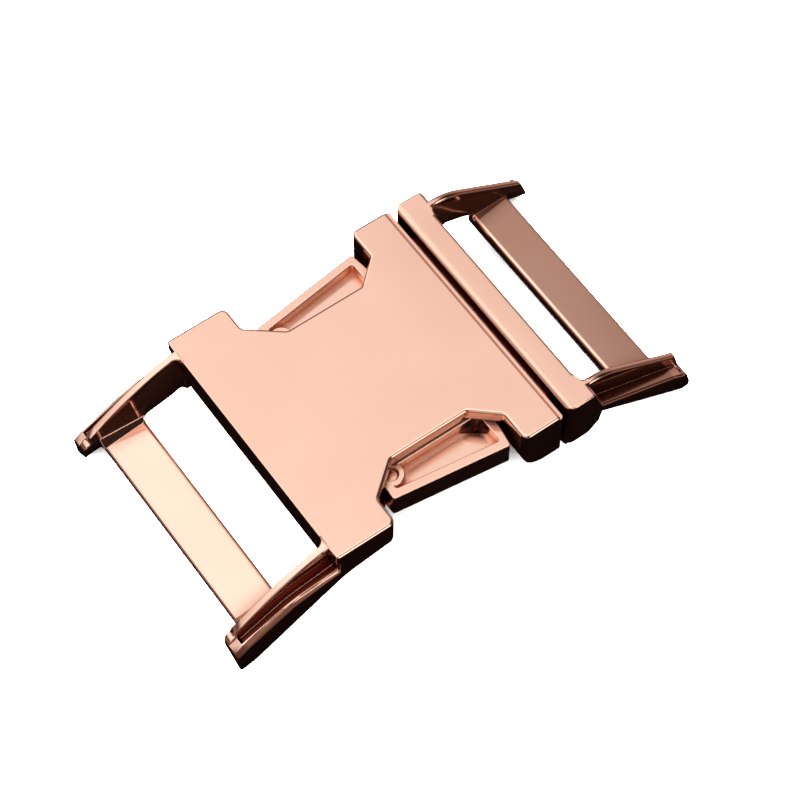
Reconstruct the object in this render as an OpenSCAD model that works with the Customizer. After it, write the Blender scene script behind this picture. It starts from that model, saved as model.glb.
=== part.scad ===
// Contoured metal side release buckle for 25 mm webbing, fastened.
// X runs along the webbing, from the socket's crossbar to the insert's. Y runs across, and Z is up.
// The origin lies on the surface that the buckle rests on, below its middle.
// Outlines are drawn from the socket's slot edge (x = 0) and the flat top (z = 0), and
// at_rest() moves them to the origin.

/* [Webbing slots] */
// Clear width of both slots at their crossbars
slot_w = 26.4; // [24:0.1:30]
// Clear length of both slots, from the body to the crossbar
slot_l = 5.9; // [5:0.1:8]
// Width of both slots between the body and the crossbar
slot_cut_w = 28; // [27.4:0.1:28.4]
// Radius of the slots' corners
slot_r = 1; // [0.6:0.1:1.4]
// Width of both crossbars, along the webbing
cross_w = 5.6; // [4.5:0.1:7]
// Thickness of both crossbars
cross_t = 1.6; // [1.2:0.1:2]
// Angle at which both crossbars fall outwards
cross_tilt = 8; // [0:1:12]
// Radius of the crossbars' edges
cross_r = 0.5; // [0.3:0.1:0.6]

/* [Web arms] */
// Thickness of each arm at its crossbar
arm_w = 3.8; // [3.4:0.1:5]
// Distance of the rib on top of an arm from the buckle's side
rib_inset = 1.6; // [1.2:0.1:1.8]
// Thickness of the rib
rib_t = 0.9; // [0.7:0.1:1.2]
// Height of the flat top above the surface that the arms' tips rest on
rest_h = 12.1; // [11.5:0.1:14]
// Radius of the arms' lower tip edges
tip_r = 0.5; // [0.3:0.1:0.7]
// Radius of the arms' upper tip edges
tip_top_r = 1.1; // [0.8:0.1:1.2]
// Thickness of the arms' tips, beyond the crossbars
tip_w = 2.7; // [2.4:0.1:3]
// Radius of the tips' upright edges
tip_edge_r = 0.5; // [0.3:0.1:0.6]
// Length of the lips' sloped ends
lip_end_l = 1.2; // [1:0.1:1.8]
// Fall of a lip over that length
lip_end_fall = 0.8; // [0.5:0.1:1]
// Length of the flat foot under each tip
foot_l = 0.8; // [0.6:0.1:1.2]
// Angle at which the arms' undersides fall towards the buckle's sides
under_lean = 46; // [42:1:50]
// Height of the pad above each end of a crossbar, where it joins the arm
pad_h = 1.6; // [1.2:0.1:2]
// Radius at the foot of a pocket, beside the body
pocket_r = 0.5; // [0.3:0.1:0.8]

/* [Socket] */
// Length of the top plate, from the slot to the mouth
plate_l = 30.9; // [30:0.1:36]
// Thickness of the top plate
plate_t = 1.7; // [1.4:0.1:2]
// Radius of the plate's corners at the mouth
plate_corner_r = 0.4; // [0.2:0.1:0.8]
// Height of the cavity inside
cavity_h = 4.4; // [4.2:0.1:5]
// Thickness of the floor under the cavity
floor_t = 1.2; // [1:0.1:1.6]
// Thickness of the socket beside its slot
heel_t = 4.2; // [3.8:0.1:5]
// Width of the raised pan on the underside
pan_w = 24.4; // [22:0.1:25]
// Length of the slope that leads down to the pan
pan_slope_l = 2.8; // [2:0.1:3.5]
// Radius of the pan's rear edges
pan_r = 1.5; // [0.8:0.1:1.6]
// Length of the mouth block
mouth_l = 5.45; // [5:0.05:6]
// Width of the mouth
mouth_w = 27; // [26.4:0.1:27.4]
// Radius of the mouth block's lower rear edge
mouth_r = 3.2; // [1:0.1:3.6]
// Radius of the mouth block's lower front edge
mouth_front_r = 0.5; // [0.3:0.1:0.8]

/* [Socket arms] */
// Distance of the tips beyond the crossbar
socket_tip_l = 2.2; // [2:0.1:4]
// Distance that the tips' end faces lean in at the foot
socket_tip_lean = 0.4; // [0.2:0.1:1]
// Distance that the pockets reach in from the slot's edge, under the plate
pocket_start = 0.4; // [0.2:0.1:0.8]
// Length of the tips beyond the end of the ribs
rib_end_l = 1.2; // [1:0.1:1.6]
// Height of the ribs' ends above the surface
socket_rib_h = 5.95; // [5.5:0.05:7]
// Slope of the ribs where they leave the plate
socket_rib_slope = 0.25; // [0.2:0.01:0.32]
// Depth of the lip below the flat top, beside the body
socket_lip_z = 3.3; // [2.6:0.1:3.6]
// Depth of the lip's bend below the flat top, beside the crossbar
socket_lip_bend_z = 4.3; // [3.6:0.1:4.6]
// Height of the lip above the surface, at the tip
socket_lip_tip_h = 4.8; // [4.4:0.1:5.2]
// Thickness of the lip beside the groove
lip_t = 0.7; // [0.6:0.05:0.9]
// Depth of the groove behind the lip
groove_d = 0.8; // [0.5:0.1:1]
// Angle at which the lip's outer face leans in
lip_lean = 27; // [20:1:32]
// Distance of the lip's top edge from the buckle's side, beside the body
lip_in_w = 0.25; // [0.1:0.05:0.3]
// Angle at which that edge runs further in towards the tip, seen from above
lip_yaw = 1; // [0.5:0.1:1.2]
// Height of the inner edge of the underside above the surface, at the tip
socket_under_h = 3.9; // [3.2:0.1:4.2]
// Angle at which that edge falls towards the tip
socket_under_tilt = 13; // [8:0.5:14]
// Depth of the crossbar below the flat top, at its inner edge
socket_cross_z = 7; // [6.4:0.1:7.4]
// Distance from the slot's edge to the bend of the arched underside
arch_l = 1.2; // [0.6:0.1:2]
// Depth of that bend below the underside beside the slot
arch_d = 0.7; // [0.4:0.1:1]
// Radius of that bend
arch_r = 8; // [5:0.5:10]
// Rise of the underside from the slot to the finger windows
shoulder_rise = 0.4; // [0.2:0.1:0.8]

/* [Finger windows] */
// Length of the plate between the slot and the windows
shoulder_l = 7.9; // [7.5:0.1:9]
// Width of the plate between the windows
waist_w = 20.34; // [19:0.1:21]
// Depth of the shoulders' straight ends, from the buckle's side
shoulder_d = 3.5; // [3:0.1:4]
// Length of the slope from a shoulder to the waist
shoulder_run = 4.1; // [3.5:0.1:5]
// Depth of the mouth block's straight ends, from the buckle's side
block_d = 4.05; // [3.85:0.05:4.5]
// Length of the slope from the waist to the mouth block
block_run = 3.1; // [2.5:0.1:4]
// Radius of the windows' corners
window_r = 0.9; // [0.5:0.1:1]

/* [Latch levers] */
// Gap between a shoulder and a lever's tip
lever_tip_gap = 2; // [1.6:0.1:3]
// Gap between a lever's latch face and the mouth block
latch_gap = 0.45; // [0.4:0.05:0.7]
// Distance of a lever's latch corner from the buckle's side
lever_inset = 1.4; // [1:0.1:1.6]
// Angle of a lever's outer side to the buckle's length
lever_taper = 7.8; // [6:0.1:9]
// Distance that the latch face slants back, at its outer end
latch_slant = 0.42; // [0.3:0.02:0.6]
// Radius of the latch corner
latch_r = 0.3; // [0.2:0.1:0.5]
// Width of a lever's inner rim that lies under the plate
lever_tuck = 0.97; // [0.8:0.01:1.1]
// Width of a lever's raised rim
rim_w = 1.1; // [0.9:0.1:1.3]
// Depth of a lever's recessed panel
panel_d = 1.6; // [1:0.1:2]
// Length of the three-cornered eye beside the latch
eye_l = 2.6; // [2:0.1:3.5]
// Width of the eye
eye_w = 1.9; // [1.4:0.1:2.2]
// Gap between a lever and the top plate
lever_top_gap = 0.5; // [0.4:0.1:0.6]
// Gap between a lever and the cavity's floor
lever_floor_gap = 0.3; // [0.2:0.05:0.35]
// Angle through which a lever is pressed to release the insert
press_deg = 10; // [8:0.5:11]

/* [Insert] */
// Gap between the socket and the front bar
seam_gap = 0.7; // [0.5:0.05:1]
// Width of the front bar, along the webbing
bar_l = 3.35; // [3.2:0.05:5]
// Height of the front bar
bar_h = 8.3; // [8.1:0.1:10]
// Radius of the front bar's corners, seen from above
bar_r = 1.2; // [0.8:0.1:1.5]
// Radius of the front bar's lower rear edge
bar_low_r = 2; // [1:0.1:2.2]
// Length of the side blocks behind the bar
side_block_l = 1.7; // [1.2:0.1:2]
// Depth below the flat top at which the side blocks reach furthest back
side_block_z = 3.8; // [3.4:0.1:4.4]
// Depth of the side blocks' lower rear edge below the flat top
side_block_low_z = 6.7; // [6:0.1:7]
// Gap round the shank in the mouth, and over and under the tongue
fit_gap = 0.3; // [0.2:0.05:0.35]
// Gap between the shank and the mouth block's rear face
shank_gap = 0.2; // [0.2:0.05:0.3]

/* [Insert arms] */
// Distance of the tips beyond the crossbar
insert_tip_l = 3.9; // [3.5:0.1:5]
// Distance that the tips' end faces lean in at the top
insert_tip_lean = 1.6; // [1:0.1:1.8]
// Distance from the bar to the bend of the ribs
insert_bend_l = 2.9; // [2.5:0.1:3.4]
// Radius of that bend
insert_bend_r = 7; // [4:0.5:8]
// Height of the ribs' ends above the surface
insert_rib_h = 5.4; // [4.8:0.1:6]
// Distance from the bar to the pockets, at the top
insert_pocket_l = 0.5; // [0.3:0.1:0.8]
// Depth of the pockets' floor below the flat top, beside the side block
insert_lip_z = 3.5; // [2.8:0.1:3.7]
// Height of that floor above the surface, at the tip
insert_lip_tip_h = 4; // [3.6:0.1:4.2]
// Depth of the underside below the flat top, beside the side block
insert_low_z = 4.8; // [4.6:0.1:5.4]
// Height of the inner edge of the underside above the surface, at the tip
insert_under_h = 4.2; // [3.8:0.1:4.6]
// Angle at which that edge falls towards the tip
insert_under_tilt = 20; // [17:0.5:22]
// Depth of the crossbar below the flat top, at its inner edge
insert_cross_z = 6.1; // [5.8:0.1:6.6]

/* [Pivot pins] */
// Radius of a pivot pin
pin_r = 0.8; // [0.6:0.05:0.9]
// Radial running clearance of a lever on its pin
pin_run = 0.05; // [0.03:0.01:0.08]
// Radial clearance of a pin in the tongue
pin_seat = 0.02; // [0.01:0.01:0.03]
// Radius of a lever's round tip, and of its ear on the tongue
hub_r = 1.6; // [1.4:0.1:1.8]
// Thickness of the tongue's ears
ear_t = 0.9; // [0.7:0.1:1.1]
// Gap between a lever and its ear
ear_gap = 0.1; // [0.05:0.05:0.2]
// Gap round an ear, in the lever's hollow that it lies in
ear_side_gap = 0.35; // [0.3:0.05:0.4]
// Depth of a pin's top below the lever's top
pin_sink = 0.4; // [0.2:0.1:0.6]

/* [Hidden] */
$fn = 64;
// Steps in the arc of a rounded corner
arc_n = 8;
// Steps in the curve of the socket's ribs
rib_n = 12;
// How far a cut, or an end that is joined, runs past the face that it meets
over = 1;
// Thickness of the sections at both ends of a slant
slice = 0.01;

body_w = slot_w + 2 * arm_w;
side_y = body_w / 2;
wall_y = slot_w / 2;
rib_y = side_y - rib_inset;
rib_in_y = rib_y - rib_t;

// Places along the buckle
socket_tip_x = -slot_l - cross_w - socket_tip_l;
cavity_x = shoulder_l + fit_gap;
block_x = plate_l - mouth_l;
bar_x = plate_l + seam_gap;
bar_end_x = bar_x + bar_l;
side_block_x = bar_end_x + side_block_l;
insert_tip_x = bar_end_x + slot_l + cross_w + insert_tip_l;
mid_x = (socket_tip_x + insert_tip_x) / 2;

// Heights from the flat top
floor_z = -plate_t - cavity_h;
belly_z = floor_z - floor_t;
lever_top_z = -plate_t - lever_top_gap;
lever_low_z = floor_z + lever_floor_gap;
panel_z = lever_top_z - panel_d;
tongue_top_z = -plate_t - fit_gap;
tongue_low_z = floor_z + fit_gap;
ear_top_z = tongue_low_z + ear_t;

// Places of the left lever
lever_in_y = waist_w / 2 - lever_tuck;
lever_tip_x = shoulder_l + lever_tip_gap;
latch_x = block_x - latch_gap;
latch_y = side_y - lever_inset;
pivot = [lever_tip_x + hub_r, lever_in_y + hub_r];
press_travel = (latch_x - pivot.x) * sin(press_deg);

plating = [0.93, 0.69, 0.59];

function unit(v) = v / norm(v);

// Arc of radius r that rounds the corner at p, between a and b
function corner(a, p, b, r) =
    r == 0 ? [p] :
    let (u = unit(a - p), v = unit(b - p), half = acos(u * v) / 2)
    let (c = p + unit(u + v) * r / sin(half), s = p + u * r / tan(half), e = p + v * r / tan(half))
    let (start = atan2(s.y - c.y, s.x - c.x), turn = sign(cross(s - c, e - c)) * (180 - 2 * half))
    [for (i = [0 : arc_n]) c + r * [cos(start + turn * i / arc_n), sin(start + turn * i / arc_n)]];

// Outline through rows of x, y and corner radius
function rounded(rows) =
    let (n = len(rows), p = [for (row = rows) [row[0], row[1]]])
    [for (i = [0 : n - 1]) each corner(p[(i + n - 1) % n], p[i], p[(i + 1) % n], rows[i][2])];

// Rows of the left side, then the same rows of the right side in reverse
function both_sides(rows) =
    concat(rows, [for (i = [len(rows) - 1 : -1 : 0]) [rows[i][0], -rows[i][1], rows[i][2]]]);

module outline(rows) {
    polygon(rounded(rows));
}

// Side outline of length and height, stretched across the buckle from y0 to y1
module across(y0, y1) {
    translate([0, y1, 0]) rotate([90, 0, 0]) linear_extrude(height = y1 - y0) children();
}

// Outline seen from above, stretched from z0 up to z1
module upright(z0, z1) {
    translate([0, 0, z0]) linear_extrude(height = z1 - z0) children();
}

module both() {
    children();
    mirror([0, 1, 0]) children();
}

module at_rest() {
    translate([-mid_x, 0, rest_h]) children();
}

// Side outline of a crossbar, made higher by more at its top. Its inner top edge is at inner_x
// and top_z, and it runs outwards in direction dir.
module crossbar_side(inner_x, top_z, dir, more) {
    translate([inner_x, top_z]) rotate(-dir * cross_tilt)
        outline([
            [0, more, cross_r],
            [dir * cross_w, more, cross_r],
            [dir * cross_w, -cross_t, cross_r],
            [0, -cross_t, cross_r]]);
}

module crossbar(inner_x, top_z, dir) {
    across(-rib_in_y, rib_in_y) crossbar_side(inner_x, top_z, dir, 0);
}

// Left arm: child 0 is its side outline, child 1 the pocket in its outer face,
// and child 2 the space under its slanted underside
module web_arm() {
    difference() {
        across(wall_y, side_y) children(0);
        across(rib_y, side_y + over) children(1);
        children(2);
    }
}

// Fillet between the slot's edge at x and the left rib, which leaves it in direction dir.
// The child is the arm's side outline.
module rib_fillet(x, dir) {
    intersection() {
        upright(-heel_t, 0) difference() {
            translate([min(x, x + dir * slot_r), rib_in_y - slot_r]) square(slot_r);
            translate([x + dir * slot_r, rib_in_y - slot_r]) circle(r = slot_r);
        }
        across(wall_y, side_y) children();
    }
}

// Space under the slanted underside of the left arm, whose inner edge at the tip is at tip_x and
// height h, and rises towards the body in direction dir. The pad at the crossbar is left out.
module under_slant(tip_x, h, tilt, dir, inner_x, top_z) {
    depth = rest_h / 2;
    difference() {
        translate([tip_x, wall_y, h - rest_h]) rotate([-under_lean, -dir * tilt, 0])
            translate([-rest_h, -arm_w, -depth]) cube([2 * rest_h, 4 * arm_w, depth]);
        across(wall_y - over, rib_in_y) crossbar_side(inner_x, top_z, -dir, pad_h);
    }
}

// Space beside the slanted inner face of the left arm, between two places along it.
// Each place gives x, the height of the rib there, and the height of the slant's foot.
module inner_slant(place0, place1) {
    hull() for (p = [place0, place1])
        translate([p[0], 0, 0]) rotate([90, 0, 90]) linear_extrude(height = slice)
            polygon([
                [wall_y - over, p[1] + rest_h / 2], [rib_in_y, p[1] + rest_h / 2], [rib_in_y, p[1]],
                [wall_y, p[2]], [wall_y - over, p[2]]]);
}

// Slot seen from above, from the body's edge at x in direction dir
module slot_plan(x, dir) {
    outline(both_sides([
        [x, slot_cut_w / 2, slot_r],
        [x + dir * slot_l, slot_cut_w / 2, slot_r]]));
}

// Socket seen from above, with both finger windows
module socket_plan() {
    cross_end_x = -slot_l - cross_w;
    outline(both_sides([
        [0, wall_y, 0],
        [cross_end_x, wall_y, 0],
        [cross_end_x, side_y - tip_w, 0],
        [socket_tip_x, side_y - tip_w, tip_edge_r],
        [socket_tip_x, side_y, tip_edge_r],
        [shoulder_l, side_y, window_r],
        [shoulder_l, side_y - shoulder_d, window_r],
        [shoulder_l + shoulder_run, waist_w / 2, window_r],
        [block_x - block_run, waist_w / 2, window_r],
        [block_x, side_y - block_d, window_r / 2],
        [block_x, side_y, window_r],
        [plate_l, side_y, plate_corner_r]]));
}

// Height of the socket's rib at the distance u along it, on a parabola
socket_rib_l = -socket_tip_x - rib_end_l;
socket_rib_drop = rest_h - socket_rib_h;
function socket_rib_z(u) =
    -socket_rib_slope * u - (socket_rib_drop - socket_rib_slope * socket_rib_l) * pow(u / socket_rib_l, 2);

// Side of the socket's arms, over an arched underside
module socket_arm_side() {
    polygon(concat(
        [[cavity_x, 0]],
        [for (i = [0 : rib_n]) let (u = socket_rib_l * i / rib_n) [-u, socket_rib_z(u)]],
        rounded([
            [socket_tip_x, -socket_rib_drop - rib_end_l, tip_top_r],
            [socket_tip_x + socket_tip_lean, -rest_h, tip_r],
            [socket_tip_x + socket_tip_lean + tip_r + foot_l, -rest_h, 0],
            [arch_l, -heel_t - arch_d, arch_r],
            [cavity_x, -heel_t + shoulder_rise, 0]])));
}

// Place where the socket's lip starts to slope down to the tip
socket_end_x = socket_tip_x + lip_end_l;
socket_end_z = socket_lip_tip_h - rest_h;

module socket_pocket_side() {
    outline([
        [pocket_start, over, 0],
        [pocket_start, -socket_lip_z, pocket_r],
        [-slot_l, -socket_lip_bend_z, arch_r],
        [socket_end_x, socket_end_z, pocket_r],
        [socket_tip_x, socket_end_z - lip_end_fall, 0],
        [socket_tip_x - over, socket_end_z - lip_end_fall, 0],
        [socket_tip_x - over, over, 0]]);
}

module socket_groove_side() {
    outline([
        [pocket_start, 0, 0],
        [pocket_start, -socket_lip_z - groove_d, pocket_r],
        [-slot_l, -socket_lip_bend_z - groove_d, arch_r],
        [socket_end_x, socket_end_z - groove_d, pocket_r],
        [socket_end_x, 0, 0]]);
}

// Space outside the leaning outer face of the socket's left lip, whose top passes through x and z
// and rises towards the body at tilt. It ends at the distance back from there.
module lip_side(x, z, tilt, back) {
    in_w = lip_in_w + (pocket_start - x) * tan(lip_yaw);
    translate([x, side_y - in_w, z]) rotate([lip_lean - 90, -tilt, lip_yaw])
        translate([-2 * rest_h, 0, 0]) cube([2 * rest_h + back, rest_h, arm_w]);
}

// Height of a crossbar's top, or of its line carried on, at the distance run from its inner edge
function cross_top_z(inner_z, run) = -inner_z - run * tan(cross_tilt);

module socket_left_arm() {
    far_x = socket_tip_x - over;
    first_fall = (socket_lip_bend_z - socket_lip_z) / (slot_l + pocket_start);
    second_fall = (-socket_end_z - socket_lip_bend_z) / (-slot_l - socket_end_x);
    difference() {
        web_arm() {
            socket_arm_side();
            socket_pocket_side();
            under_slant(socket_tip_x, socket_under_h, socket_under_tilt, 1, -slot_l, -socket_cross_z);
        }
        inner_slant(
            [-slice, 0, cross_top_z(socket_cross_z, -slot_l)],
            [far_x, socket_rib_drop * far_x / socket_rib_l, cross_top_z(socket_cross_z, -far_x - slot_l)]);
        across(rib_y, side_y - lip_t) socket_groove_side();
        lip_side(pocket_start, -socket_lip_z, atan(first_fall), 0);
        lip_side(-slot_l, -socket_lip_bend_z, atan(second_fall), rest_h);
        lip_side(socket_end_x, socket_end_z, atan(lip_end_fall / lip_end_l), rest_h);
    }
    rib_fillet(0, -1) socket_arm_side();
}

// Middle of the socket from the side: the heel beside the slot, and the pan on the underside
module socket_pan_side() {
    pan_x = cavity_x - floor_t;
    outline([
        [0, 0, 0],
        [block_x + over, 0, 0],
        [block_x + over, belly_z, 0],
        [pan_x, belly_z, pan_r],
        [pan_x - pan_slope_l, -heel_t, pan_r],
        [0, -heel_t, 0]]);
}

module socket_block_side() {
    outline([
        [block_x, 0, 0],
        [plate_l, 0, 0],
        [plate_l, belly_z, mouth_front_r],
        [block_x, belly_z, mouth_r]]);
}

// Female casting: top plate, floor, mouth block, web arms and crossbar
module socket() {
    color(plating) at_rest() difference() {
        union() {
            intersection() {
                upright(belly_z, 0) socket_plan();
                union() {
                    across(-side_y, side_y) translate([0, -plate_t]) square([plate_l, plate_t]);
                    across(-wall_y, wall_y) translate([0, -heel_t]) square([cavity_x, heel_t]);
                    across(-pan_w / 2, pan_w / 2) socket_pan_side();
                    across(-side_y, side_y) socket_block_side();
                }
            }
            both() intersection() {
                upright(-rest_h, 0) socket_plan();
                socket_left_arm();
            }
            crossbar(-slot_l, -socket_cross_z, -1);
        }
        upright(-rest_h - over, over) slot_plan(0, -1);
        upright(floor_z, -plate_t) {
            translate([cavity_x, -side_y - over]) square([block_x - cavity_x, body_w + 2 * over]);
            translate([block_x - over, -mouth_w / 2]) square([mouth_l + 2 * over, mouth_w]);
        }
    }
}

// Insert seen from above
module insert_plan() {
    cross_end_x = bar_end_x + slot_l + cross_w;
    outline(both_sides([
        [bar_x, side_y, bar_r],
        [insert_tip_x, side_y, tip_edge_r],
        [insert_tip_x, side_y - tip_w, tip_edge_r],
        [cross_end_x, side_y - tip_w, 0],
        [cross_end_x, wall_y, 0],
        [bar_end_x, wall_y, 0]]));
}

module bar_side() {
    outline([
        [bar_x, 0, 0],
        [bar_end_x, 0, 0],
        [bar_end_x, -bar_h, bar_low_r],
        [bar_x, -bar_h, mouth_front_r]]);
}

// Blocks at both ends of the bar, which reach back to the pockets of the arms
module side_block_side() {
    outline([
        [bar_x, 0, 0],
        [bar_end_x, 0, 0],
        [side_block_x, -side_block_z, pocket_r],
        [side_block_x, -side_block_low_z, bar_low_r / 2],
        [bar_end_x, -bar_h, bar_low_r / 2],
        [bar_x, -bar_h, mouth_front_r]]);
}

module insert_arm_side() {
    tip_top_x = insert_tip_x - insert_tip_lean;
    outline([
        [bar_x + bar_r, 0, 0],
        [bar_end_x + insert_bend_l, 0, insert_bend_r],
        [tip_top_x, insert_rib_h - rest_h, tip_top_r],
        [insert_tip_x, -rest_h, tip_r],
        [insert_tip_x - tip_r - foot_l, -rest_h, 0],
        [side_block_x, -insert_low_z, 0],
        [bar_x + bar_r, -insert_low_z, 0]]);
}

// Place where the floor of the insert's pockets starts to slope down to the tip
insert_end_x = insert_tip_x - insert_tip_lean - lip_end_l;
insert_end_z = insert_lip_tip_h - rest_h;

module insert_pocket_side() {
    outline([
        [bar_end_x + insert_pocket_l, 0, 0],
        [side_block_x, -insert_lip_z, pocket_r],
        [insert_end_x, insert_end_z, pocket_r],
        [insert_end_x + lip_end_l, insert_end_z - lip_end_fall, 0],
        [insert_tip_x + over, insert_end_z - lip_end_fall, 0],
        [insert_tip_x + over, over, 0],
        [bar_end_x + insert_pocket_l, over, 0]]);
}

module insert_left_arm() {
    bend_x = bar_end_x + insert_bend_l;
    cross_x = bar_end_x + slot_l;
    tip_top_x = insert_tip_x - insert_tip_lean;
    far_x = insert_tip_x + over;
    rib_fall = (rest_h - insert_rib_h) / (tip_top_x - bend_x);
    difference() {
        web_arm() {
            insert_arm_side();
            insert_pocket_side();
            under_slant(tip_top_x, insert_under_h, insert_under_tilt, -1, cross_x, -insert_cross_z);
        }
        inner_slant(
            [bar_end_x, 0, cross_top_z(insert_cross_z, -slot_l)],
            [far_x, -rib_fall * (far_x - bend_x), cross_top_z(insert_cross_z, far_x - cross_x)]);
    }
    rib_fillet(bar_end_x, 1) insert_arm_side();
}

// Shank through the mouth, tongue between the levers, and an ear under each lever's tip
module tongue() {
    nose_x = cavity_x + 2 * fit_gap;
    nose_y = lever_in_y - 2 * fit_gap;
    shank_x = block_x + shank_gap;
    tongue_y = lever_in_y - press_travel - fit_gap;
    shank_y = mouth_w / 2 - fit_gap;
    upright(tongue_low_z, tongue_top_z) {
        translate([shank_x, -shank_y]) square([bar_x + over - shank_x, 2 * shank_y]);
        translate([nose_x, -tongue_y]) square([shank_x + over - nose_x, 2 * tongue_y]);
        translate([nose_x, -nose_y]) square([pivot.x + hub_r - nose_x, 2 * nose_y]);
    }
    both() difference() {
        upright(tongue_low_z, ear_top_z) {
            translate(pivot) circle(r = hub_r);
            translate([pivot.x - hub_r, nose_y - over]) square([2 * hub_r, pivot.y - nose_y + over]);
        }
        upright(tongue_low_z - over, ear_top_z + over) translate(pivot) circle(r = pin_r + pin_seat);
    }
}

// Male casting: front bar, shank, tongue, web arms and crossbar
module insert() {
    color(plating) at_rest() {
        difference() {
            union() {
                intersection() {
                    upright(-rest_h, 0) insert_plan();
                    union() {
                        across(-side_y, side_y) bar_side();
                        both() across(wall_y, side_y) side_block_side();
                        both() insert_left_arm();
                    }
                }
                crossbar(bar_end_x + slot_l, -insert_cross_z, 1);
            }
            upright(-rest_h - over, over) slot_plan(bar_end_x, 1);
        }
        tongue();
    }
}

// Outer side of the left lever, at x
function lever_out_y(x) = latch_y - (latch_x - latch_slant - x) * tan(lever_taper);

module lever_plan() {
    outline([
        [lever_tip_x, lever_in_y, hub_r],
        [latch_x, lever_in_y, latch_r],
        [latch_x, side_y - block_d, 0],
        [latch_x - latch_slant, latch_y, latch_r],
        [lever_tip_x, lever_out_y(lever_tip_x), latch_r]]);
}

// Recess inside the lever's rim
module panel_plan() {
    low = [lever_tip_x + rim_w, lever_in_y + rim_w];
    high_x = latch_x - rim_w;
    rim_across = rim_w / cos(lever_taper);
    outline([
        [low.x, low.y, 0],
        [high_x, low.y, latch_r],
        [high_x, lever_out_y(high_x) - rim_across, latch_r],
        [low.x, lever_out_y(low.x) - rim_across, latch_r]]);
}

module eye_plan() {
    corner_at = [latch_x - rim_w, lever_in_y + rim_w];
    polygon([corner_at - [eye_l, 0], corner_at, corner_at + [0, eye_w]]);
}

// Left latch lever: a rimmed tray that turns on its pin, over the tongue's ear
module latch_lever() {
    hollow_r = hub_r + ear_side_gap;
    difference() {
        upright(lever_low_z, lever_top_z) lever_plan();
        upright(panel_z, lever_top_z + over) difference() {
            panel_plan();
            translate(pivot) circle(r = hub_r);
        }
        upright(lever_low_z - over, panel_z + over) eye_plan();
        upright(lever_low_z - over, ear_top_z + ear_gap) {
            translate(pivot) circle(r = hollow_r);
            translate([lever_tip_x - over, lever_in_y - over])
                square([pivot.x + hollow_r - lever_tip_x + over, hub_r + over]);
        }
        upright(lever_low_z - over, lever_top_z + over) translate(pivot) circle(r = pin_r + pin_run);
    }
}

module pivot_pin() {
    color(plating) at_rest()
        upright(tongue_low_z, lever_top_z - pin_sink) translate(pivot) circle(r = pin_r);
}

module lever_left() {
    color(plating) at_rest() latch_lever();
}

module lever_right() {
    mirror([0, 1, 0]) lever_left();
}

module pivot_pin_left() {
    pivot_pin();
}

module pivot_pin_right() {
    mirror([0, 1, 0]) pivot_pin();
}

socket();
insert();
lever_left();
lever_right();
pivot_pin_left();
pivot_pin_right();
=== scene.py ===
"""A contoured metal side release buckle for 25 mm webbing, fastened. Its two castings, its two
latch levers and their pins are all plated in polished rose gold. Lengths are in metres."""

import math

import bmesh
import bpy
from mathutils import Euler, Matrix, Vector


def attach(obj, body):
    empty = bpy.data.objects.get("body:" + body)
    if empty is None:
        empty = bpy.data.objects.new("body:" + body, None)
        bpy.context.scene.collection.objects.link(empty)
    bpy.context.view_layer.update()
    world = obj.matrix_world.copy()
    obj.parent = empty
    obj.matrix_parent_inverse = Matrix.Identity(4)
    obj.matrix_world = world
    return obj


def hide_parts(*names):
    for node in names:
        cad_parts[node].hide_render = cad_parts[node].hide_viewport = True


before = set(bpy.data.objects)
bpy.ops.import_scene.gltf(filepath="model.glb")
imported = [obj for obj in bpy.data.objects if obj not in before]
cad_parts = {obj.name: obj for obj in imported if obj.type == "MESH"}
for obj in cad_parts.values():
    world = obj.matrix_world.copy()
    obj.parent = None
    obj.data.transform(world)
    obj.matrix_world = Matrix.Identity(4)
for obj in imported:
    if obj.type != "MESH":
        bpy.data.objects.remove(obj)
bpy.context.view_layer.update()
mm = 0.001

# The camera looks down on the flat top from beside the socket, so that the webbing's line
# runs from lower left to upper right. A long lens keeps the two slots nearly the same size.
camera_place = (-87.6 * mm, -125.8 * mm, 269.7 * mm)
camera_round = -35.5
camera_height = 60.0
camera_lens = 119.5
camera = bpy.data.objects.new("camera", bpy.data.cameras.new("camera"))
camera.data.lens = camera_lens
camera.data.clip_start = 0.01
camera.data.clip_end = 20
camera.location = camera_place
camera.rotation_euler = Euler((math.radians(90 - camera_height), 0, math.radians(camera_round)))
bpy.context.collection.objects.link(camera)
bpy.context.scene.camera = camera
bpy.context.scene.view_settings.view_transform = "Standard"

# The room is near-black below, brown along the horizon and lit by soft boxes. Polished metal
# shows nothing but this, so the flat top comes out pale, the upright walls nearly black, and
# each rounded edge gets a bright line and a dark one.
world = bpy.data.worlds.new("studio_room")
bpy.context.scene.world = world
world.use_nodes = True
room = world.node_tree
room.nodes.clear()
direction = room.nodes.new("ShaderNodeTexCoord")
height = room.nodes.new("ShaderNodeSeparateXYZ")
room.links.new(direction.outputs["Generated"], height.inputs[0])
height_share = room.nodes.new("ShaderNodeMapRange")
height_share.inputs["From Min"].default_value = -1
room.links.new(height.outputs["Z"], height_share.inputs["Value"])


def set_stops(ramp, stops):
    """Gives a colour ramp its stops, each a place from 0 to 1 and the colour there."""
    for place, colour in stops[1:-1]:
        ramp.color_ramp.elements.new(place)
    for point, (place, colour) in zip(ramp.color_ramp.elements, stops):
        point.position, point.color = place, (*colour, 1)


def glow(share):
    """The colour of a soft box where it gives this share of its light: warmer where dim."""
    green_lost, blue_lost = 0.35, 0.5
    dim = (1 - share) ** 2
    return share, share * (1 - green_lost * dim), share * (1 - blue_lost * dim)


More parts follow.
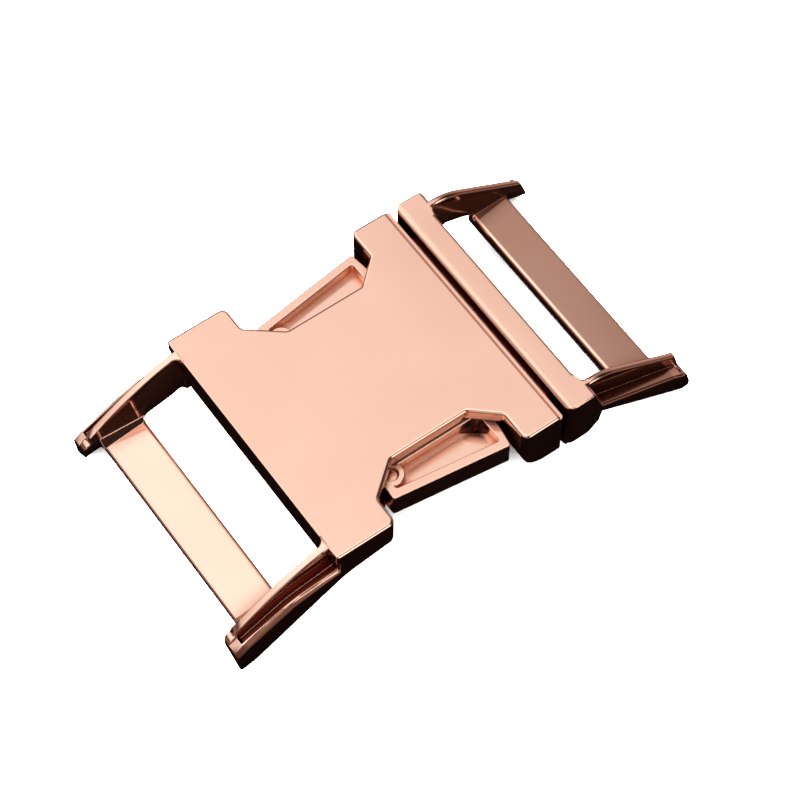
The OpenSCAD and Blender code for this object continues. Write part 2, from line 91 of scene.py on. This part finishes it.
walls = room.nodes.new("ShaderNodeValToRGB")
room.links.new(height_share.outputs["Result"], walls.inputs["Fac"])
set_stops(walls, [
    (0.0, (0.004, 0.002, 0.002)), (0.07, (0.008, 0.004, 0.004)), (0.19, (0.020, 0.010, 0.008)),
    (0.31, (0.07, 0.04, 0.03)), (0.40, (0.30, 0.18, 0.15)), (0.50, (0.24, 0.14, 0.11)),
    (0.58, (0.04, 0.022, 0.018)), (1.0, (0.02, 0.012, 0.010)),
])

# Each soft box has the direction towards it, its light, and stops that give the cosine of the
# angle from that direction and the share of the light there.
wide_overhead = ((-0.25, 0.30, 0.92), (1.5, 1.5, 1.5), [
    (0.40, 0), (0.55, 0.08), (0.695, 0.41), (0.80, 0.62), (0.853, 0.71), (0.90, 0.79),
    (0.953, 0.933), (1.0, 0.96),
])
small_overhead = ((0.20, -0.15, 0.97), (0.8, 0.8, 0.8), [(0.93, 0), (0.985, 1), (1.0, 1)])
low_strip = ((0.25, -0.93, 0.25), (2.2, 2.1, 2.0), [(0.92, 0), (0.965, 0.9), (1.0, 1)])
past_insert = ((0.87, 0.45, 0.20), (0.34, 0.26, 0.24), [(0.80, 0), (0.93, 0.9), (1.0, 1)])
round_table = [
    (towards, (0.75, 0.73, 0.71), [(0.935, 0), (0.965, 0.85), (1.0, 1)])
    for towards in ((-0.64, -0.64, 0.42), (-0.88, -0.20, 0.42), (-0.16, 0.89, 0.42))
]
light_so_far = walls.outputs["Color"]
for towards, light, stops in (
    wide_overhead, small_overhead, low_strip, past_insert, *round_table
):
    facing = room.nodes.new("ShaderNodeVectorMath")
    facing.operation = "DOT_PRODUCT"
    facing.inputs[1].default_value = Vector(towards).normalized()
    room.links.new(direction.outputs["Generated"], facing.inputs[0])
    fall = room.nodes.new("ShaderNodeValToRGB")
    room.links.new(facing.outputs["Value"], fall.inputs["Fac"])
    set_stops(fall, [(cosine, glow(share)) for cosine, share in stops])
    coloured = room.nodes.new("ShaderNodeVectorMath")
    coloured.operation = "MULTIPLY"
    coloured.inputs[1].default_value = light
    room.links.new(fall.outputs["Color"], coloured.inputs[0])
    total = room.nodes.new("ShaderNodeVectorMath")
    total.operation = "ADD"
    room.links.new(light_so_far, total.inputs[0])
    room.links.new(coloured.outputs["Vector"], total.inputs[1])
    light_so_far = total.outputs["Vector"]
backdrop = room.nodes.new("ShaderNodeBackground")
room.links.new(light_so_far, backdrop.inputs["Color"])
room_out = room.nodes.new("ShaderNodeOutputWorld")
room.links.new(backdrop.outputs[0], room_out.inputs["Surface"])

# The floor is plain white paper. It is lit from above and seen by the camera, but the
# polished metal doesn't mirror it.
floor_reach = 3
floor_mesh = bmesh.new()
bmesh.ops.create_grid(floor_mesh, x_segments=1, y_segments=1, size=floor_reach)
floor_data = bpy.data.meshes.new("floor")
floor_mesh.to_mesh(floor_data)
floor_mesh.free()
floor = bpy.data.objects.new("floor", floor_data)
floor.visible_glossy = False
bpy.context.collection.objects.link(floor)
paper = bpy.data.materials.new("white_paper")
paper.use_nodes = True
paper_shader = paper.node_tree.nodes["Principled BSDF"]
paper_shader.inputs["Base Color"].default_value = (0.92, 0.92, 0.92, 1)
paper_shader.inputs["Roughness"].default_value = 0.95
paper_shader.inputs["Specular IOR Level"].default_value = 0
floor_data.materials.append(paper)

lamp_place = Vector((-0.1, 0.05, 0.9))
lamp = bpy.data.objects.new("paper_lamp", bpy.data.lights.new("paper_lamp", "AREA"))
lamp.data.size = 1.6
lamp.data.energy = 110
lamp.location = lamp_place
lamp.rotation_euler = lamp_place.to_track_quat("Z", "Y").to_euler()
lamp.visible_glossy = False
bpy.context.collection.objects.link(lamp)


# The socket is the female casting: a flat top plate with a finger window in each side, a
# mouth block, and two curved arms that carry a crossbar. It is die-cast zinc alloy, tumbled
# so that each outer edge is slightly round, then polished and plated in rose gold.
edge_radius = 0.38 * mm
skirt_radius = 0.50 * mm
crossbar_radius = 0.60 * mm
tip_radius = 0.80 * mm
ledge_radius = 0.08 * mm
arm_side = 16.9 * mm
arm_skirt_z = 6.0 * mm
arm_tip_x = 30.2 * mm
arm_tip_z = 3.0 * mm
crossbar_edge = -28.5 * mm
half_middle = 1.0 * mm
flat_top = 12.1 * mm
mouth_edge = 12.575 * mm
ledge_z = 11.7 * mm
ledge_width = 0.48 * mm
step_head = mouth_edge - ledge_width
step_foot = mouth_edge - 0.95 * ledge_width
hair = 0.01 * mm
sharp_from = math.radians(20)
one_run = math.radians(35)
dark_gold = (0.895, 0.565, 0.440)
light_gold = (0.915, 0.595, 0.470)
worn_gold = (0.94, 0.66, 0.54)
# The next two colours are painted shade, mixed in by the ambient-occlusion mask: a dark red for
# the castings' recesses and a brighter red for the narrow seam at the mouth.
painted_shade_red = (0.16, 0.022, 0.009)
painted_seam_shade_red = (0.80, 0.22, 0.09)
mouth_slot = 1


def plating(
    name, least_roughness, most_roughness, painted_recess_shade, recess_roughness, recess_reach,
    soft_edge,
):
    """Rose gold over polished metal. The colour drifts faintly and is paler along worn edges.
    Fine polishing lines run along the webbing, over the slight waves that the wheel leaves.
    Recesses that the wheel can't reach are duller. Shade is also painted into them: where
    ambient occlusion finds them sheltered, a darker, redder colour is mixed in."""
    metal = bpy.data.materials.new(name)
    metal.use_nodes = True
    tree = metal.node_tree
    add, link = tree.nodes.new, tree.links.new
    shader = tree.nodes["Principled BSDF"]
    shader.inputs["Metallic"].default_value = 1
    place = add("ShaderNodeTexCoord")

    drift = add("ShaderNodeTexNoise")
    drift.inputs["Scale"].default_value = 70
    drift.inputs["Detail"].default_value = 2
    link(place.outputs["Object"], drift.inputs["Vector"])
    tones = add("ShaderNodeValToRGB")
    set_stops(tones, [(0.35, dark_gold), (0.68, light_gold)])
    link(drift.outputs["Fac"], tones.inputs["Fac"])

    # Painted shade: where this ambient-occlusion mask finds a place sheltered, the given shade
    # colour is mixed into the plating's colour; the same mask also makes the place rougher.
    openness = add("ShaderNodeAmbientOcclusion")
    openness.samples = 10
    openness.inputs["Distance"].default_value = recess_reach
    dullness_and_shade_mask = add("ShaderNodeMapRange")
    dullness_and_shade_mask.inputs["From Min"].default_value = 0.5
    dullness_and_shade_mask.inputs["From Max"].default_value = 0.88
    link(openness.outputs["AO"], dullness_and_shade_mask.inputs["Value"])
    recess = add("ShaderNodeMix")
    recess.data_type = "RGBA"
    recess.inputs["A"].default_value = (*painted_recess_shade, 1)
    link(dullness_and_shade_mask.outputs["Result"], recess.inputs["Factor"])
    link(tones.outputs["Color"], recess.inputs["B"])

    rounding = add("ShaderNodeBevel")
    rounding.samples = 6
    rounding.inputs["Radius"].default_value = soft_edge
    shape = add("ShaderNodeNewGeometry")
    turned = add("ShaderNodeVectorMath")
    turned.operation = "DOT_PRODUCT"
    link(rounding.outputs["Normal"], turned.inputs[0])
    link(shape.outputs["Normal"], turned.inputs[1])
    wear = add("ShaderNodeMapRange")
    wear.inputs["From Min"].default_value = 0.995
    wear.inputs["From Max"].default_value = 0.93
    link(turned.outputs["Value"], wear.inputs["Value"])
    worn = add("ShaderNodeMix")
    worn.data_type = "RGBA"
    worn.inputs["B"].default_value = (*worn_gold, 1)
    link(wear.outputs["Result"], worn.inputs["Factor"])
    link(recess.outputs["Result"], worn.inputs["A"])
    link(worn.outputs["Result"], shader.inputs["Base Color"])

    patches = add("ShaderNodeTexNoise")
    patches.inputs["Scale"].default_value = 420
    patches.inputs["Detail"].default_value = 5
    link(place.outputs["Object"], patches.inputs["Vector"])
    polish = add("ShaderNodeMapRange")
    polish.inputs["From Min"].default_value = 0.35
    polish.inputs["From Max"].default_value = 0.7
    polish.inputs["To Min"].default_value = least_roughness
    polish.inputs["To Max"].default_value = most_roughness
    link(patches.outputs["Fac"], polish.inputs["Value"])
    dulled = add("ShaderNodeMix")
    dulled.inputs["A"].default_value = recess_roughness
    link(dullness_and_shade_mask.outputs["Result"], dulled.inputs["Factor"])
    link(polish.outputs["Result"], dulled.inputs["B"])
    link(dulled.outputs["Result"], shader.inputs["Roughness"])

    waves = add("ShaderNodeTexNoise")
    waves.inputs["Scale"].default_value = 55
    waves.inputs["Detail"].default_value = 1
    link(place.outputs["Object"], waves.inputs["Vector"])
    swell = add("ShaderNodeBump")
    swell.inputs["Strength"].default_value = 0.5
    swell.inputs["Distance"].default_value = 0.35 * mm
    link(waves.outputs["Fac"], swell.inputs["Height"])
    link(rounding.outputs["Normal"], swell.inputs["Normal"])
    along = add("ShaderNodeMapping")
    along.inputs["Scale"].default_value = (0.06, 1, 1)
    link(place.outputs["Object"], along.inputs["Vector"])
    lines = add("ShaderNodeTexNoise")
    lines.inputs["Scale"].default_value = 5200
    lines.inputs["Detail"].default_value = 3
    link(along.outputs["Vector"], lines.inputs["Vector"])
    relief = add("ShaderNodeBump")
    relief.inputs["Strength"].default_value = 0.02
    relief.inputs["Distance"].default_value = 0.02 * mm
    link(lines.outputs["Fac"], relief.inputs["Height"])
    link(swell.outputs["Normal"], relief.inputs["Normal"])
    link(relief.outputs["Normal"], shader.inputs["Normal"])
    return metal


def room_beside(shape, outer):
    """For each outer edge, the widest rounding that the faces beside it have room for. The
    roundings at the two ends of a face's side may take up nearly all of its length."""
    no_limit, nearly_all, least_angle, least_sine = 1.0, 0.92, 0.05, 0.2
    room_for = {edge: no_limit for edge in outer}
    for face in shape.faces:
        corners = face.loops[:]
        for k, corner in enumerate(corners):
            following = corners[(k + 1) % len(corners)]
            shrink = 0
            rounded = [corner.edge] if corner.edge in room_for else []
            for bend, neighbour in ((corner, corners[k - 1].edge), (following, following.edge)):
                angle = bend.calc_angle() if bend.is_convex else 2 * math.pi - bend.calc_angle()
                angle = min(max(angle, least_angle), 2 * math.pi - least_angle)
                if neighbour in room_for:
                    rounded.append(neighbour)
                    if corner.edge in room_for:
                        shrink += 1 / math.tan(angle / 2)
                    else:
                        shrink += 1 / max(math.sin(angle), least_sine)
                elif corner.edge in room_for and abs(math.sin(angle)) > least_sine:
                    shrink += 1 / math.tan(angle)
            if shrink > 0:
                space = nearly_all * corner.edge.calc_length() / shrink
                for edge in rounded:
                    room_for[edge] = min(room_for[edge], space)
    return room_for


def runs_of_edges(outer):
    """Outer edges in the runs that a fingertip would follow without turning a corner."""
    waiting = dict.fromkeys(outer)
    while waiting:
        run = [waiting.popitem()[0]]
        for edge in run:
            for end in edge.verts:
                along = end.co - edge.other_vert(end).co
                for other in end.link_edges:
                    onward = other.other_vert(end).co - end.co
                    if other in waiting and along.angle(onward, 0) < one_run:
                        del waiting[other]
                        run.append(other)
        yield run


def tumbled(node_name, radius, rounder=(), worked=None):
    """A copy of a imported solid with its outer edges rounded. A run of edges gets the rounding
    that its tightest edge has room for. Where that is far too narrow, it gets the widest of
    a few that nearly all of the run has room for. Each row of rounder has another rounding
    than radius, and the test of a run's middle that it is for. The function in worked, where
    there is one, cuts a step or a roll into the solid first."""
    merge_within, flat_within = 0.002 * mm, math.radians(1)
    room_enough, most_of_run = 0.6, 0.85
    narrower = (1, 0.77, 0.58, 0.38, 0.23)
    shape = bmesh.new()
    shape.from_mesh(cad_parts[node_name].data)
    bmesh.ops.remove_doubles(shape, verts=shape.verts, dist=merge_within)
    bmesh.ops.dissolve_limit(
        shape, angle_limit=flat_within, verts=shape.verts, edges=shape.edges
    )
    if worked:
        worked(shape)
        shape.normal_update()
    widest = max([radius] + [row_radius for row_radius, is_for in rounder])
    weight = shape.edges.layers.float.new("bevel_weight_edge")
    for face in shape.faces:
        face.smooth = True
    sharp = [edge for edge in shape.edges if edge.calc_face_angle(0) > sharp_from]
    for edge in sharp:
        edge.smooth = False
    outer = [edge for edge in sharp if edge.is_convex]
    room_for = room_beside(shape, outer)
    for run in runs_of_edges(outer):
        length = sum(edge.calc_length() for edge in run)
        middle = Vector()
        for edge in run:
            middle += (edge.verts[0].co + edge.verts[1].co) / 2 * edge.calc_length() / length
        wanted = next((row_radius for row_radius, is_for in rounder if is_for(middle)), radius)
        tightest = min(room_for[edge] for edge in run)
        if tightest > room_enough * wanted:
            widths = [min(tightest, wanted)]
        else:
            widths = [wanted * share for share in narrower]
        for width in widths:
            roomy = [edge for edge in run if room_for[edge] >= width]
            if sum(edge.calc_length() for edge in roomy) >= most_of_run * length:
                break
        for edge in roomy:
            edge[weight] = width / widest
            edge.smooth = True
    data = bpy.data.meshes.new(node_name + "_metal")
    shape.to_mesh(data)
    shape.free()
    piece = bpy.data.objects.new(node_name + "_metal", data)
    bpy.context.collection.objects.link(piece)
    edges = piece.modifiers.new("tumbled_edges", "BEVEL")
    edges.limit_method = "WEIGHT"
    edges.width = widest
    edges.segments = 4
    edges.use_clamp_overlap = False
    edges.loop_slide = False
    even = piece.modifiers.new("even_shading", "WEIGHTED_NORMAL")
    even.keep_sharp = True
    return piece


def cut_top(shape, faces, place, facing):
    """Cuts these faces of a casting along the plane through place that looks along facing."""
    edges = dict.fromkeys(edge for face in faces for edge in face.edges)
    ends = dict.fromkeys(vert for face in faces for vert in face.verts)
    bmesh.ops.bisect_plane(
        shape, geom=faces + list(edges) + list(ends), dist=0.01 * hair, plane_co=place,
        plane_no=facing,
    )


def step_mouth(shape):
    """Steps the plate's top edge down along the mouth, which leaves a narrow ledge."""
    def is_top(vert):
        return vert.co.z > flat_top - hair

    for cut_x in (step_head, step_foot):
        faces = [face for face in shape.faces if any(is_top(vert) for vert in face.verts)]
        cut_top(shape, faces, (cut_x, 0, 0), (1, 0, 0))
    for vert in shape.verts:
        if is_top(vert) and vert.co.x > (step_head + step_foot) / 2:
            vert.co.z = ledge_z
    for face in shape.faces:
        middle = face.calc_center_median()
        if middle.x > step_head and middle.z > ledge_z - hair:
            face.material_index = mouth_slot


def is_ledge(place):
    return abs(place.x - mouth_edge) < ledge_width and abs(place.z - ledge_z) < 5 * hair


def is_skirt(place):
    return abs(place.y) > arm_side and place.z < arm_skirt_z


def is_tip(place):
    return abs(place.x) > arm_tip_x and place.z > arm_tip_z


def is_crossbar_edge(place):
    return place.x < crossbar_edge and abs(place.y) < half_middle


# The castings' dark red in their recesses is painted shade, laid in by the ambient-occlusion
# mask.
casting_metal = plating(
    "rose_gold_casting", least_roughness=0.04, most_roughness=0.08, painted_recess_shade=painted_shade_red,
    recess_roughness=0.26, recess_reach=4 * mm, soft_edge=0.14 * mm,
)
# The mouth's plating paints a thin red shade into the seam between socket and insert, over a
# much shorter reach.
mouth_metal = plating(
    "rose_gold_mouth", least_roughness=0.04, most_roughness=0.08, painted_recess_shade=painted_seam_shade_red,
    recess_roughness=0.12, recess_reach=0.3 * mm, soft_edge=0.05 * mm,
)
casting_edges = [
    (ledge_radius, is_ledge), (skirt_radius, is_skirt), (tip_radius, is_tip),
    (crossbar_radius, is_crossbar_edge),
]
socket = tumbled("socket", edge_radius, casting_edges, step_mouth)
socket.data.materials.append(casting_metal)
socket.data.materials.append(mouth_metal)
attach(socket, "buckle")
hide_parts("socket")

# The insert is the male casting, made and finished as the socket is. Its front bar closes
# the socket's mouth, and its shank and tongue run on inside.
bar_front = 13.275 * mm
bar_roll = 0.85 * mm
roll_rows = 6


def roll_bar_front(shape):
    """Rolls over the bar's top edge where it faces the mouth: cuts rows into it that fan out
    from the roll's centre line, and draws them in to the roll's radius."""
    centre = Vector((bar_front + bar_roll, 0, flat_top - bar_roll))

    def out_from_centre(place):
        return Vector((place.x - centre.x, 0, place.z - centre.z))

    def beside_roll(vert):
        out = out_from_centre(vert.co)
        return out.x < 0.1 * hair and out.z > -0.1 * hair

    for row in range(roll_rows + 1):
        angle = math.radians(90 * row / roll_rows)
        faces = [face for face in shape.faces if any(beside_roll(vert) for vert in face.verts)]
        cut_top(shape, faces, centre, (math.sin(angle), 0, math.cos(angle)))
    for vert in shape.verts:
        out = out_from_centre(vert.co)
        if beside_roll(vert) and out.length > bar_roll:
            vert.co += out * (bar_roll / out.length - 1)
    for face in shape.faces:
        if all(beside_roll(vert) for vert in face.verts):
            face.material_index = mouth_slot


insert = tumbled("insert", edge_radius, casting_edges, roll_bar_front)
insert.data.materials.append(casting_metal)
insert.data.materials.append(mouth_metal)
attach(insert, "buckle")
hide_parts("insert")

# Each latch lever is a shallow cast tray with a raised rim, which turns on its pin when a
# finger presses it through the window. It is tumbled but hardly polished, so it is satin.
lever_radius = 0.14 * mm
# This colour is painted shade, which the ambient-occlusion mask mixes into the recesses of the
# levers and pins.
painted_recess_orange = (0.88, 0.45, 0.29)
lever_metal = plating(
    "rose_gold_lever", least_roughness=0.14, most_roughness=0.20, painted_recess_shade=painted_recess_orange,
    recess_roughness=0.55, recess_reach=1.2 * mm, soft_edge=0.10 * mm,
)
for side in ("left", "right"):
    lever = tumbled("lever_" + side, lever_radius)
    lever.data.materials.append(lever_metal)
    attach(lever, side + "_lever")
    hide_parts("lever_" + side)

# Each pivot pin is a plain turned steel pin, plated with the rest, with its ends rounded over.
# It runs in bores in the insert's ears and in its lever.
pin_radius = 0.14 * mm
pin_metal = plating(
    "rose_gold_pin", least_roughness=0.08, most_roughness=0.14, painted_recess_shade=painted_recess_orange,
    recess_roughness=0.26, recess_reach=1.2 * mm, soft_edge=0.10 * mm,
)
for side in ("left", "right"):
    pin = tumbled("pivot_pin_" + side, pin_radius)
    pin.data.materials.append(pin_metal)
    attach(pin, "buckle")
    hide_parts("pivot_pin_" + side)
